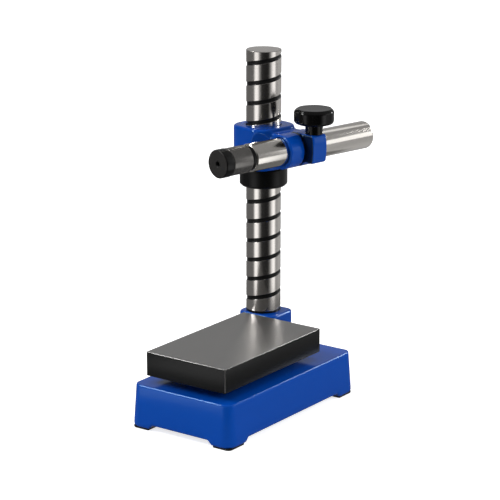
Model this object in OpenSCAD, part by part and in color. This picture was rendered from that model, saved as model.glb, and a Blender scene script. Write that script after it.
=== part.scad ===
// Comparator stand: a measuring plate on a cast base, a grooved column, and a head on a height nut
// that carries a sliding arm with a holder for a dial gauge. All lengths are in millimetres.
// The origin is the middle of the plate's ground top face, +Z up and the column towards +Y.

/* [Measuring plate] */
// Width of the plate, across the stand
plate_w = 94; // [80:1:120]
// Length of the plate, towards the column
plate_l = 158; // [130:1:190]
// Thickness of the plate
plate_t = 24; // [18:1:32]
// Chamfer round the plate's edges
plate_chamfer = 0.6; // [0.4:0.1:1.5]
// Distance of the plate's screws from its middle line
plate_screw_x = 15; // [12:1:17]
// Distance of the front screws from the plate's front edge
plate_screw_front = 36; // [34:1:44]
// Distance of the rear screws from the plate's rear edge
plate_screw_rear = 36; // [34:1:44]

/* [Base casting] */
// How far the base's top stands out past each long side of the plate
side_margin = 10.5; // [9:0.5:16]
// How far the base's top stands out past the front of the plate
front_margin = 8; // [6:0.5:20]
// Height of the base's top above its raised lower edge
base_h = 38; // [32:1:50]
// Drop of the corner pads below the raised lower edge
pad_drop = 4; // [2:0.5:6]
// Length of a corner pad along the short side, slope left out
pad_w = 22; // [20:1:26]
// Length of a corner pad along the long side, slope left out
pad_l = 26; // [22:1:30]
// Run of the slope between a pad and the raised edge
pad_slope = 6; // [4:0.5:9]
// Outward slope of each side over the base's height
base_draft = 3; // [1:0.5:4]
// Radius of the base's corners at the top
base_corner_r = 9; // [7:0.5:12]
// Rounding of the base's top edge
base_edge_r = 5; // [2:0.5:6]
// Thickness of the casting's outer walls
base_wall = 10; // [8:0.5:12]
// Thickness of the casting's top
base_top_t = 10; // [10:0.5:14]
// Thickness of the ribs under the top
rib_t = 7; // [5:0.5:9]
// Height of the pedestal that carries the plate
pedestal_h = 8; // [4:0.5:12]
// How far the pedestal stands in from the plate's edge
pedestal_inset = 25; // [20:0.5:26]

/* [Column] */
// Diameter of the column
column_d = 35; // [32:0.5:40]
// Height of the column's top above the plate
column_top = 267; // [240:1:320]
// Distance of the column's axis behind the plate's rear edge
column_setback = 22; // [22:0.5:30]
// How far the boss stands out past the column, all round
boss_margin = 2; // [1.5:0.5:3]
// How far the boss stands out further on its right side
boss_right = 6; // [0:0.5:7]
// Height of the boss above the base's top
boss_up = 31.5; // [26:0.5:34]
// Rounding of the boss's top edge
boss_edge_r = 2.5; // [1.5:0.5:3.5]
// Diameter of the spigot that the boss holds
spigot_d = 28; // [24:1:30]
// Length of the spigot
spigot_l = 40; // [30:1:45]
// Advance of the helical groove in one turn
groove_lead = 20; // [16:1:26]
// Width of the groove
groove_w = 4.4; // [3.6:0.1:5]
// Depth of the groove
groove_depth = 1.2; // [1:0.1:2]
// Height of the groove's middle on the column's +X side
groove_z0 = 0.4; // [0:0.1:10]
// Chamfer at the column's top
column_chamfer = 1.4; // [0.5:0.1:2]

/* [Head] */
// Height of the head's underside above the plate
head_z = 150; // [120:1:170]
// Height of the column hub
hub_h = 42; // [40:1:50]
// Reach of the hub's left face from the column's axis
hub_left = 24.5; // [23:0.5:27]
// Reach of the hub's right face from the column's axis
hub_right = 26.5; // [25:0.5:28]
// Reach of the hub's front face from the column's axis
hub_front = 27; // [25:0.5:28]
// Reach of the hub's rear face from the column's axis
hub_rear = 26; // [25:0.5:28]
// Radius of the hub's upright corners
hub_corner_r = 16; // [12:0.5:18]
// Swing of the head about the column, rear end to the right
swing = 12; // [-30:1:30]
// Distance of the arm's axis to the right of the column's axis
arm_offset = 38; // [37:0.5:42]
// Height of the arm's axis above the head's underside
arm_up = 22; // [20:0.5:24]
// Wall of the arm hub round the arm
arm_hub_wall = 4; // [3.5:0.5:6]
// Reach of the arm hub in front of the column's axis
arm_hub_front = 14; // [12:0.5:18]
// Reach of the arm hub and its ear behind the column's axis
arm_hub_rear = 25; // [23:0.5:27]
// Width of the relief slot across the arm hub
slot_w = 3.5; // [2:0.25:4]
// Thickness of the wall between the arm's bore and the head's flat top
flat_wall = 2.5; // [2:0.25:3.5]
// Reach of the ear block's outer face from the arm's axis
ear_reach = 27; // [26.5:0.5:30]
// Length of the ear block along the arm
ear_l = 18.5; // [17.5:0.5:19]
// Depth of the ear block below the arm's axis
ear_down = 12; // [11:0.5:14]
// Rounding of the ear block's upper edge
ear_edge_r = 3.5; // [2:0.5:4]

/* [Arm and gauge holder] */
// Diameter of the arm
arm_d = 28; // [26:0.5:28.5]
// Reach of the arm's front end in front of the column's axis
arm_front = 55; // [45:1:70]
// Reach of the arm's rear end behind the column's axis
arm_rear = 104; // [80:1:130]
// Chamfer at the arm's front end
arm_chamfer = 1; // [0.5:0.1:2]
// Rounding at the arm's rear end
arm_end_r = 2.5; // [1:0.25:4]
// Diameter of the gauge holder
holder_d = 27.4; // [25:0.1:27.8]
// Length of the gauge holder's body
holder_l = 24.5; // [22:0.5:30]
// Width of the stepped ring between arm and holder
ring_w = 4.5; // [3:0.5:7]
// Diameter of the stepped ring
ring_d = 25; // [22:0.5:26]
// Diameter of the bore for the gauge's stem
stem_d = 8; // [6:0.5:10]
// Depth of the stem's bore, from the holder's underside
stem_depth = 21; // [16:0.5:23]
// Diameter of the holder's spigot in the arm
holder_spigot_d = 14; // [12:0.5:16]
// Length of the holder's spigot
holder_spigot_l = 22; // [16:0.5:26]
// Diameter of the end cap
cap_d = 28.5; // [25:0.5:29]
// Length of the end cap
cap_l = 10.5; // [9:0.5:14]
// Rounding of the end cap's rim
cap_edge_r = 0.9; // [0.5:0.1:1.5]
// Gap between the end cap and the holder
cap_gap = 0.4; // [0.3:0.1:0.8]

/* [Height nut] */
// Wall of the height nut round the column
nut_wall = 6.5; // [6:0.25:10]
// Height of the height nut
nut_h = 18.5; // [17:0.5:24]
// Chamfer at the nut's lower edge
nut_chamfer = 2.2; // [1:0.1:3]
// Thickness of the thrust washer on the nut
thrust_t = 1.5; // [1:0.25:2.5]
// How far the thrust washer stands in from the nut's edge
thrust_inset = 1.5; // [1:0.25:3]

/* [Knobs] */
// Diameter of the arm clamp knob
knob_d = 40; // [34:1:46]
// Thickness of the arm clamp knob's head
knob_head_h = 15; // [12:0.5:20]
// Diameter of the knob's neck
knob_neck_d = 17.5; // [14:0.5:18]
// Height of the knob's neck
knob_neck_h = 10.5; // [9:0.5:16]
// Number of lobes round a knob
knob_lobes = 7; // [5:1:9]
// Depth of the hollows between the lobes
lobe_depth = 0.9; // [0.4:0.1:1.5]
// Rounding of the knob's rim
knob_edge_r = 3.5; // [2:0.5:5]
// Diameter of the column clamp knob
rear_knob_d = 30; // [26:1:32]
// Thickness of the column clamp knob's head
rear_knob_head_h = 12; // [10:0.5:14]
// Height of the column clamp knob's neck
rear_knob_neck_h = 8; // [6:0.5:12]

/* [Fasteners] */
// Diameter of the plate's screws
plate_screw_d = 6; // [5:0.5:6]
// Reach of the plate's screws into the plate
plate_screw_in = 12; // [9:0.5:14]
// Diameter of the column's bolt
column_bolt_d = 10; // [8:1:12]
// Reach of the column's bolt into the spigot
column_bolt_in = 24; // [16:1:28]
// Diameter of the arm clamp's stud
arm_stud_d = 6; // [5:0.5:6]
// Diameter of the arm clamp's cotter
cotter_d = 11; // [10:0.5:12]
// Diameter of the column clamp's stud
column_stud_d = 8; // [6:0.5:10]
// Diameter of the gauge clamp's screw
gauge_screw_d = 5; // [4:0.5:5]
// Thickness of a rubber foot below its pad
foot_out = 2; // [1:0.5:3]
// How far a foot stands in from the pad's outer edges
foot_inset = 2.2; // [1:0.1:3]
// Diameter of the plug that holds a foot in its pad
foot_plug_d = 6; // [5:0.5:8]
// Length of that plug
foot_plug_l = 7; // [5:0.5:10]

/* [Fits] */
// Radial clearance of a running fit
running_fit = 0.05; // [0.02:0.01:0.1]
// Radial clearance of a seated or pressed fit
seat_fit = 0.02; // [0.01:0.01:0.05]
// Radial clearance of a screw in its clearance hole
screw_fit = 0.3; // [0.2:0.05:0.5]

/* [Hidden] */
$fn = 96;
hull_fn = 32;

// Overrun of every cut past the face that it opens
over = 1;

// Colours
paint = [0.02, 0.17, 0.55];
plate_black = [0.1, 0.1, 0.1];
steel = [0.7, 0.69, 0.67];
black = [0.05, 0.05, 0.05];
brass = [0.75, 0.6, 0.3];
zinc = [0.55, 0.56, 0.58];

// Heights, counted from the plate's top
plate_under = -plate_t;
base_top = plate_under - pedestal_h;
raised_z = base_top - base_h;
pad_z = raised_z - pad_drop;
ground_z = pad_z - foot_out;
ceiling_z = base_top - base_top_t;
boss_top = base_top + boss_up;

// Plan of the base
boss_half = column_d / 2 + boss_margin;
base_w = plate_w + 2 * side_margin;
column_x = boss_half - base_w / 2;
column_y = plate_l / 2 + column_setback;
front_y = -plate_l / 2 - front_margin;
rear_y = column_y + boss_half;
base_l = rear_y - front_y;
base_mid_y = (rear_y + front_y) / 2;
plug_pull = 2;
plug_in = base_corner_r + base_draft - plug_pull;
plug_x = base_w / 2 + base_draft - plug_in;
plug_front_y = front_y - base_draft + plug_in;
plug_rear_y = rear_y + base_draft - plug_in;

// Pockets under the base's top
pocket_r = 5;
pocket_out = base_w / 2 - base_wall;
pocket_front = front_y + pad_l + pad_slope;
pocket_split = (pocket_front + rear_y - pad_l - pad_slope) / 2;
pocket_rear_left = column_y - boss_half - rib_t;
pocket_rear_right = rear_y - pad_l - pad_slope;

// Plate screws: socket heads sunk in the base's ceiling
plate_head_d = 1.66 * plate_screw_d;
plate_washer_d = 2 * plate_screw_d;
plate_washer_t = 1.2;
plate_seat_t = 2.5;
plate_sink = base_top_t - plate_seat_t;
plate_screw_front_y = -plate_l / 2 + plate_screw_front;
plate_screw_rear_y = plate_l / 2 - plate_screw_rear;
head_gap = 0.3;

// Column bolt
column_head_d = 1.6 * column_bolt_d;
column_head_h = 0.8 * column_bolt_d;
column_washer_d = 2 * column_bolt_d;
column_washer_t = 2;
column_head_up = 2;
column_sink = column_head_h + column_washer_t + column_head_up;
spigot_end = boss_top - spigot_l;
lock_screw_d = 8;
lock_screw_z = boss_top - spigot_l / 2;
hex_share = 0.5;

// Head, in its own frame: the column's axis at zero, the arm along +Y
arm_z = head_z + arm_up;
flat_z = arm_z + arm_d / 2 + flat_wall;
arm_hub_r = arm_d / 2 + arm_hub_wall;
ear_front = arm_hub_rear - ear_l;
ear_low = arm_z - ear_down;
slot_in = 0.25;
slot_y = ear_front - slot_w + slot_in;
slot_from = -45;
slot_to = 150;
web_back = 20;
web_up = 2;

// Arm clamp: a stud beside the arm, drawn up into the knob, with a cotter on its lower end
stud_gap = 1;
stud_x = arm_offset + arm_d / 2 + stud_gap + arm_stud_d / 2;
stud_y = arm_hub_rear - ear_l / 2;
cotter_under = 2;
cotter_top = arm_z - cotter_under;
cotter_end = 0.6;
clamp_washer_d = 12;
clamp_washer_t = 1.2;
insert_wall = 2;
insert_in = 1.5;
insert_share = 0.55;

// Column clamp: a radial screw at the rear left of the hub, with a brass pad before it
clamp_turn = 135;
clamp_up = 17;
clamp_z = head_z + clamp_up;
clamp_seat = 31;
clamp_boss_r = 9;
pad_piece_l = 5;
knob_float = 1.6;

// Height nut and its follower
nut_d = column_d + 2 * nut_wall;
nut_z = head_z - thrust_t - nut_h;
nut_edge = 0.6;
thrust_d = nut_d - 2 * thrust_inset;
follower_up = 12.5;
follower_z = nut_z + follower_up;
follower_turn = 360 * (follower_z - groove_z0) / groove_lead;
follower_d = 5;
follower_tip_d = 3.4;
follower_in = 0.8;
follower_seat = 0.6;
follower_sink = 0.7;

// Gauge holder, along the arm
ring_y = -arm_front - ring_w;
holder_y = ring_y - holder_l;
cap_back = holder_y - cap_gap;
cap_front = cap_back - cap_l;
stem_y = ring_y - holder_l / 2;
holder_edge = 0.4;
ring_step = 1.2;
ring_shoulder = 1.2;
ring_step_d = ring_d - 2 * ring_shoulder;
ring_front_gap = 0.3;
cap_screw_in = 7;
cap_screw_gap = 1;
gauge_screw_y = cap_back - cap_screw_in + cap_screw_gap;
gauge_pad_l = 3;
centre_hole_d = 2.4;
centre_sink_d = 4.4;
centre_sink = 1;
holder_screw_d = 5;
holder_screw_back = 9;
holder_screw_y = holder_screw_back - arm_front;
holder_screw_in = 1.5;
lock_tip = holder_spigot_d / 2 - holder_screw_in + seat_fit;
lock_end = arm_d / 2 - screw_fit - over;

// Groove's cross-section: how far a bottom corner is cut off, and its steps round the column
groove_cut = 0.4;
groove_step = 20;

// The four corners of a rectangle
module at_corners(x0, x1, y0, y1)
    for (x = [x0, x1], y = [y0, y1])
        translate([x, y, 0]) children();

// Flat rectangle with round corners
module round_rect(x0, x1, y0, y1, r) {
    translate([x0 + r, y0]) square([x1 - x0 - 2 * r, y1 - y0]);
    translate([x0, y0 + r]) square([x1 - x0, y1 - y0 - 2 * r]);
    for (x = [x0 + r, x1 - r], y = [y0 + r, y1 - r])
        translate([x, y]) circle(r = r);
}

// Round disc whose upper edge is rounded
module puck(r, h, edge, fn)
    rotate_extrude($fn = fn)
        intersection() {
            union() {
                square([r - edge, h]);
                square([r, h - edge]);
                translate([r - edge, h - edge]) circle(r = edge);
            }
            square([r, h]);
        }

// Bar along +Z with chamfered ends
module bar(r, h, low = 0, high = 0)
    rotate_extrude()
        polygon([[0, 0], [r - low, 0], [r, low], [r, h - high], [r - high, h], [0, h]]);

// Hexagon socket, cut downwards from z = 0
module socket(d, depth)
    translate([0, 0, -depth]) cylinder(d = d, h = depth + over, $fn = 6);

// Cap screw with its head's underside at z = 0, shank up and head down
module cap_screw(d, shank, head_d, head_h)
    difference() {
        union() {
            translate([0, 0, -head_h]) cylinder(d = head_d, h = head_h);
            cylinder(d = d, h = shank);
        }
        translate([0, 0, -head_h]) mirror([0, 0, 1]) socket(d = hex_share * head_d, depth = head_h / 2);
    }

// Flat washer with its lower face at z = 0
module washer(d, bore, t)
    difference() {
        cylinder(d = d, h = t);
        translate([0, 0, -over]) cylinder(d = bore, h = t + 2 * over);
    }

module at_column() translate([column_x, column_y, 0]) children();

// The head's own frame, swung about the column
module at_head() at_column() rotate([0, 0, -swing]) children();

// Turns +Z to run along the arm, towards its rear end
module along_arm(y) translate([arm_offset, y, arm_z]) rotate([-90, 0, 0]) children();

// The column clamp's own frame: +Z runs outwards from the column's axis
module at_clamp() translate([0, 0, clamp_z]) rotate([0, 90, clamp_turn]) children();

module at_plate_screws()
    for (x = [-plate_screw_x, plate_screw_x], y = [plate_screw_front_y, plate_screw_rear_y])
        translate([x, y, 0]) children();

module at_plugs()
    at_corners(-plug_x, plug_x, plug_front_y, plug_rear_y) children();

// Solid block of the base: drafted sides, rounded corners and a rounded top edge
module base_block()
    hull() {
        at_corners(-base_w / 2 + base_corner_r, base_w / 2 - base_corner_r,
                   front_y + base_corner_r, rear_y - base_corner_r) {
            translate([0, 0, pad_z])
                cylinder(r = base_corner_r + base_draft, h = pad_drop / 2, $fn = hull_fn);
            translate([0, 0, base_top - base_edge_r - over])
                puck(base_corner_r, base_edge_r + over, base_edge_r, hull_fn);
        }
    }

// Boss at the rear left corner, flush with the base's sides
module boss_block()
    hull()
        at_corners(column_x - boss_half + base_corner_r,
                   column_x + boss_half + boss_right - base_corner_r,
                   column_y - boss_half + base_corner_r, column_y + boss_half - base_corner_r)
            translate([0, 0, ceiling_z])
                puck(base_corner_r, boss_top - ceiling_z, boss_edge_r, hull_fn);

// Channel under the casting that leaves the corner pads standing
module pad_channel(half, pad, run)
    rotate([90, 0, 0])
        translate([0, 0, -run])
            linear_extrude(2 * run)
                polygon([
                    [-half + pad, pad_z - over], [-half + pad, pad_z],
                    [-half + pad + pad_slope, raised_z], [half - pad - pad_slope, raised_z],
                    [half - pad, pad_z], [half - pad, pad_z - over]
                ]);

module pocket(x0, x1, y0, y1)
    translate([0, 0, pad_z - over])
        linear_extrude(ceiling_z - pad_z + over)
            round_rect(x0, x1, y0, y1, pocket_r);

module base_pockets() {
    for (side = [-1, 1]) {
        x0 = side < 0 ? -pocket_out : rib_t / 2;
        x1 = side < 0 ? -rib_t / 2 : pocket_out;
        rear = side < 0 ? pocket_rear_left : pocket_rear_right;
        pocket(x0, x1, pocket_front, pocket_split - rib_t / 2);
        pocket(x0, x1, pocket_split + rib_t / 2, rear);
    }
    pocket(-base_w / 2 + pad_w + pad_slope + rib_t / 2, base_w / 2 - pad_w - pad_slope - rib_t / 2,
           front_y + base_wall, pocket_front - rib_t);
}

module base_casting() color(paint)
    difference() {
        union() {
            base_block();
            boss_block();
            translate([0, 0, base_top - over])
                linear_extrude(pedestal_h + over)
                    round_rect(-plate_w / 2 + pedestal_inset, plate_w / 2 - pedestal_inset,
                               -plate_l / 2 + pedestal_inset, plate_l / 2 - pedestal_inset, pocket_r);
        }
        base_pockets();
        pad_channel(base_w / 2 + base_draft, pad_w, base_l);
        translate([0, base_mid_y, 0])
            rotate([0, 0, 90]) pad_channel(base_l / 2 + base_draft, pad_l, base_w);
        // Column seat, bolt hole and counterbore
        at_column() {
            translate([0, 0, spigot_end - over])
                cylinder(d = spigot_d + 2 * seat_fit, h = spigot_l + 2 * over);
            translate([0, 0, pad_z - over])
                cylinder(d = column_bolt_d + 2 * screw_fit, h = spigot_end - pad_z + over);
            translate([0, 0, pad_z - over])
                cylinder(d = column_washer_d + 2 * screw_fit, h = raised_z - pad_z + column_sink + over);
            translate([0, 0, lock_screw_z]) rotate([-90, 0, 0])
                cylinder(d = lock_screw_d + 2 * seat_fit, h = boss_half + over);
        }
        // Plate screws' holes and counterbores
        at_plate_screws() {
            translate([0, 0, ceiling_z - over])
                cylinder(d = plate_screw_d + 2 * screw_fit, h = plate_under - ceiling_z + 2 * over);
            translate([0, 0, ceiling_z - over])
                cylinder(d = plate_washer_d + 2 * screw_fit, h = plate_sink + over);
        }
        // Holes for the feet's plugs
        at_plugs()
            translate([0, 0, pad_z - over])
                cylinder(d = foot_plug_d + 2 * seat_fit, h = foot_plug_l + 2 * over);
    }

// Plate with chamfered top, bottom and upright edges
module measuring_plate() color(plate_black)
    difference() {
        translate([-plate_w / 2, -plate_l / 2, plate_under]) cube([plate_w, plate_l, plate_t]);
        for (z = [plate_under, 0]) {
            for (x = [-plate_w / 2, plate_w / 2])
                translate([x, 0, z]) rotate([90, 0, 0]) chamfer_cutter(plate_l);
            for (y = [-plate_l / 2, plate_l / 2])
                translate([0, y, z]) rotate([0, 90, 0]) chamfer_cutter(plate_w);
        }
        for (x = [-plate_w / 2, plate_w / 2], y = [-plate_l / 2, plate_l / 2])
            translate([x, y, plate_under / 2]) chamfer_cutter(plate_t);
        at_plate_screws()
            translate([0, 0, plate_under - over])
                cylinder(d = plate_screw_d + 2 * seat_fit, h = plate_screw_in + 2 * over);
    }

// Square bar on edge that cuts a chamfer along Z
module chamfer_cutter(l)
    rotate([0, 0, 45])
        cube([plate_chamfer * sqrt(2), plate_chamfer * sqrt(2), l + 2 * over], center = true);

module plate_screws() color(zinc)
    at_plate_screws()
        translate([0, 0, ceiling_z + plate_sink - plate_washer_t])
            cap_screw(plate_screw_d, plate_washer_t - ceiling_z - plate_sink + plate_under + plate_screw_in,
                      plate_head_d, plate_sink - plate_washer_t - head_gap);

module plate_washers() color(zinc)
    at_plate_screws()
        translate([0, 0, ceiling_z + plate_sink - plate_washer_t])
            washer(plate_washer_d, plate_screw_d + 2 * seat_fit, plate_washer_t);

// Feet: flat pieces under the corner pads, each with a round plug
module rubber_feet() color(black) {
    translate([0, 0, ground_z])
        linear_extrude(foot_out)
            intersection() {
                round_rect(foot_inset - base_w / 2 - base_draft, base_w / 2 + base_draft - foot_inset,
                           front_y - base_draft + foot_inset, rear_y + base_draft - foot_inset,
                           base_corner_r + base_draft - foot_inset);
                for (x = [-base_w / 2 - base_draft, base_w / 2 + base_draft - pad_w],
                     y = [front_y - base_draft, rear_y + base_draft - pad_l])
                    translate([x, y]) square([pad_w, pad_l]);
            }
    at_plugs()
        translate([0, 0, ground_z + foot_out / 2])
            cylinder(d = foot_plug_d, h = foot_out / 2 + foot_plug_l);
}

// Helical groove's cutter: one ring of points at each step, joined into a closed tube
function groove_points() =
    let (
        r = column_d / 2,
        w = groove_w / 2,
        d = groove_depth,
        c = groove_cut,
        from = floor(360 * (boss_top - groove_lead / 2 - groove_z0) / groove_lead / groove_step),
        to = ceil(360 * (column_top + groove_lead / 2 - groove_z0) / groove_lead / groove_step),
        shape = [
            [r + over, -w], [r - d + c, -w], [r - d, -w + c],
            [r - d, w - c], [r - d + c, w], [r + over, w]
        ]
    )
    [for (i = [from : to]) let (a = i * groove_step)
        [for (p = shape) [p[0] * cos(a), p[0] * sin(a), p[1] + groove_z0 + groove_lead * a / 360]]];

// Tube through rings of points, with flat ends
module tube_through(rings) {
    n = len(rings[0]);
    m = len(rings);
    points = [for (ring = rings) for (p = ring) p];
    faces = concat(
        [[for (k = [0 : n - 1]) k]],
        [for (i = [0 : m - 2]) for (k = [0 : n - 1])
            [i * n + k, (i + 1) * n + k, (i + 1) * n + (k + 1) % n]],
        [for (i = [0 : m - 2]) for (k = [0 : n - 1])
            [i * n + k, (i + 1) * n + (k + 1) % n, i * n + (k + 1) % n]],
        [[for (k = [n - 1 : -1 : 0]) (m - 1) * n + k]]
    );
    polyhedron(points, faces);
}

module column() color(steel)
    at_column()
        difference() {
            union() {
                translate([0, 0, boss_top])
                    bar(column_d / 2, column_top - boss_top, high = column_chamfer);
                translate([0, 0, spigot_end])
                    cylinder(d = spigot_d, h = spigot_l + over);
            }
            tube_through(groove_points());
            translate([0, 0, spigot_end - over])
                cylinder(d = column_bolt_d + 2 * seat_fit, h = column_bolt_in + 2 * over);
        }

module column_bolt() color(zinc)
    at_column()
        translate([0, 0, raised_z + column_sink - column_washer_t])
            cap_screw(column_bolt_d, spigot_end + column_bolt_in - raised_z - column_sink + column_washer_t,
                      column_head_d, column_head_h);

module column_washer() color(zinc)
    at_column()
        translate([0, 0, raised_z + column_sink - column_washer_t])
            washer(column_washer_d, column_bolt_d + 2 * seat_fit, column_washer_t);

// Grub screw in the boss's rear face that stops the column from turning
module column_lock_screw() color(zinc)
    at_column()
        translate([0, 0, lock_screw_z]) rotate([-90, 0, 0])
            difference() {
                translate([0, 0, spigot_d / 2 + seat_fit])
                    cylinder(d = lock_screw_d, h = boss_half - spigot_d / 2 - screw_fit);
                translate([0, 0, boss_half])
                    socket(hex_share * lock_screw_d, (boss_half - spigot_d / 2) / 2);
            }

module height_nut() color(black)
    at_column()
        difference() {
            translate([0, 0, nut_z]) bar(nut_d / 2, nut_h, low = nut_chamfer, high = nut_edge);
            translate([0, 0, nut_z - over]) cylinder(d = column_d + 2 * running_fit, h = nut_h + 2 * over);
            rotate([0, 90, follower_turn])
                translate([-follower_z, 0, 0]) cylinder(d = follower_d + 2 * seat_fit, h = nut_d);
        }

// Dog-point screw whose tip rides in the column's groove
module nut_follower() color(steel)
    at_column()
        translate([0, 0, follower_z]) rotate([0, 90, follower_turn])
            difference() {
                union() {
                    translate([0, 0, column_d / 2 - follower_in])
                        cylinder(d = follower_tip_d, h = follower_in + follower_seat + over);
                    translate([0, 0, column_d / 2 + follower_seat])
                        cylinder(d = follower_d, h = (nut_d - column_d) / 2 - follower_seat - follower_sink);
                }
                translate([0, 0, nut_d / 2 - follower_sink])
                    socket(hex_share * follower_d, (nut_d - column_d) / 4);
            }

module thrust_washer() color(brass)
    at_column()
        translate([0, 0, head_z - thrust_t])
            washer(thrust_d, column_d + 2 * running_fit, thrust_t);

// Solid of the column hub: a square block with round corners
module hub_block()
    translate([0, 0, head_z])
        linear_extrude(hub_h)
            round_rect(-hub_left, hub_right, -hub_front, hub_rear, hub_corner_r);

// Arm hub: a cylinder round the arm with a flat top, and a web that joins it to the column hub
module arm_hub_block()
    intersection() {
        union() {
            along_arm(-arm_hub_front) cylinder(r = arm_hub_r, h = arm_hub_front + arm_hub_rear);
            translate([0, -arm_hub_front, arm_z - arm_hub_r + web_up])
                cube([arm_offset, arm_hub_front + web_back, 2 * arm_hub_r]);
        }
        translate([-hub_left, -hub_front, head_z])
            cube([hub_left + arm_offset + ear_reach, hub_front + arm_hub_rear, flat_z - head_z]);
    }

// Ear block beside the arm, with a rounded upper edge
module ear_block()
    along_arm(ear_front)
        linear_extrude(ear_l)
            difference() {
                translate([0, arm_z - flat_z]) square([ear_reach, flat_z - ear_low]);
                translate([ear_reach - ear_edge_r, arm_z - flat_z + ear_edge_r])
                    difference() {
                        translate([0, -ear_edge_r - over]) square([ear_edge_r + over, ear_edge_r + over]);
                        circle(r = ear_edge_r);
                    }
            }

module head_casting() color(paint)
    at_head()
        difference() {
            union() {
                hub_block();
                arm_hub_block();
                ear_block();
                at_clamp() cylinder(r = clamp_boss_r, h = clamp_seat);
            }
            translate([0, 0, head_z - over])
                cylinder(d = column_d + 2 * running_fit, h = hub_h + 2 * over);
            along_arm(-hub_front - over)
                cylinder(d = arm_d + 2 * running_fit, h = hub_front + arm_hub_rear + 2 * over);
            // Relief slot round the outer side of the arm hub
            along_arm(slot_y)
                rotate([0, 0, slot_from])
                    rotate_extrude(angle = slot_to - slot_from)
                        translate([arm_d / 2, 0]) square([arm_hub_wall + over, slot_w]);
            // Stud's hole, washer's seat and cotter's bore
            translate([stud_x, stud_y, ear_low - over]) {
                cylinder(d = arm_stud_d + 2 * screw_fit, h = flat_z - ear_low + 2 * over);
                cylinder(d = cotter_d + 2 * running_fit, h = cotter_top - ear_low + over + cotter_end);
            }
            translate([stud_x, stud_y, flat_z - clamp_washer_t])
                cylinder(d = clamp_washer_d + 2 * screw_fit, h = clamp_washer_t + over);
            at_clamp() cylinder(d = column_stud_d + 2 * running_fit, h = clamp_seat + over);
        }

// Lobed knob with its neck's foot at z = 0, a blind hole for its insert and hollows round its rim
module lobed_knob(d, head_h, neck_d, neck_h, insert_d, insert_l)
    difference() {
        union() {
            translate([0, 0, neck_h])
                rotate_extrude() {
                    square([d / 2 - knob_edge_r, head_h]);
                    translate([0, knob_edge_r]) square([d / 2, head_h - 2 * knob_edge_r]);
                    for (z = [knob_edge_r, head_h - knob_edge_r])
                        translate([d / 2 - knob_edge_r, z]) circle(r = knob_edge_r);
                }
            cylinder(d = neck_d, h = neck_h + over);
        }
        for (i = [0 : knob_lobes - 1])
            rotate([0, 0, 360 * i / knob_lobes])
                translate([0.8 * d - lobe_depth, 0, neck_h - over])
                    cylinder(r = 0.3 * d, h = head_h + 2 * over);
        translate([0, 0, -over]) cylinder(d = insert_d + 2 * seat_fit, h = insert_l + over);
    }

// Threaded bush moulded into a knob, from z = 0 up
module knob_insert(d, bore, l)
    difference() {
        cylinder(d = d, h = l);
        translate([0, 0, -over]) cylinder(d = bore, h = l + 2 * over);
    }

arm_insert_d = arm_stud_d + 2 * insert_wall;
arm_insert_l = insert_share * (knob_neck_h + knob_head_h) + insert_in;
rear_insert_d = column_stud_d + 2 * insert_wall;
rear_insert_l = insert_share * (rear_knob_neck_h + rear_knob_head_h) + insert_in;
rear_stud_end = clamp_seat + knob_float + rear_insert_l - screw_fit;

module arm_clamp_knob() color(black)
    at_head()
        translate([stud_x, stud_y, flat_z])
            lobed_knob(knob_d, knob_head_h, knob_neck_d, knob_neck_h, arm_insert_d, arm_insert_l);

module arm_clamp_insert() color(brass)
    at_head()
        translate([stud_x, stud_y, flat_z])
            knob_insert(arm_insert_d, arm_stud_d + 2 * running_fit, arm_insert_l);

module arm_clamp_washer() color(zinc)
    at_head()
        translate([stud_x, stud_y, flat_z - clamp_washer_t])
            washer(clamp_washer_d, arm_stud_d + 2 * running_fit, clamp_washer_t);

module arm_clamp_stud() color(steel)
    at_head()
        translate([stud_x, stud_y, ear_low + cotter_end])
            cylinder(d = arm_stud_d, h = flat_z + arm_insert_l - ear_low - 2 * cotter_end);

// Cotter: a bush on the stud's lower end, hollowed on one side to grip the arm
module arm_clamp_cotter() color(zinc)
    at_head()
        difference() {
            translate([stud_x, stud_y, ear_low + cotter_end])
                cylinder(d = cotter_d, h = cotter_top - ear_low - cotter_end);
            along_arm(-arm_hub_front) cylinder(d = arm_d + 2 * running_fit, h = arm_hub_front + arm_hub_rear);
            translate([stud_x, stud_y, ear_low])
                cylinder(d = arm_stud_d + 2 * seat_fit, h = cotter_top - ear_low + over);
        }

module column_clamp_knob() color(black)
    at_head() at_clamp()
        translate([0, 0, clamp_seat + knob_float])
            lobed_knob(rear_knob_d, rear_knob_head_h, knob_neck_d, rear_knob_neck_h,
                       rear_insert_d, rear_insert_l);

module column_clamp_insert() color(brass)
    at_head() at_clamp()
        translate([0, 0, clamp_seat + knob_float])
            knob_insert(rear_insert_d, column_stud_d + 2 * seat_fit, rear_insert_l);

module column_clamp_stud() color(steel)
    at_head() at_clamp()
        translate([0, 0, column_d / 2 + pad_piece_l + seat_fit])
            cylinder(d = column_stud_d, h = rear_stud_end - column_d / 2 - pad_piece_l - seat_fit);

// Pad between the stud and the column, hollowed to the column
module column_clamp_pad() color(brass)
    at_head()
        difference() {
            at_clamp()
                translate([0, 0, column_d / 2 - pad_piece_l])
                    cylinder(d = column_stud_d, h = 2 * pad_piece_l);
            translate([0, 0, head_z]) cylinder(d = column_d + 2 * running_fit, h = hub_h);
        }

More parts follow.
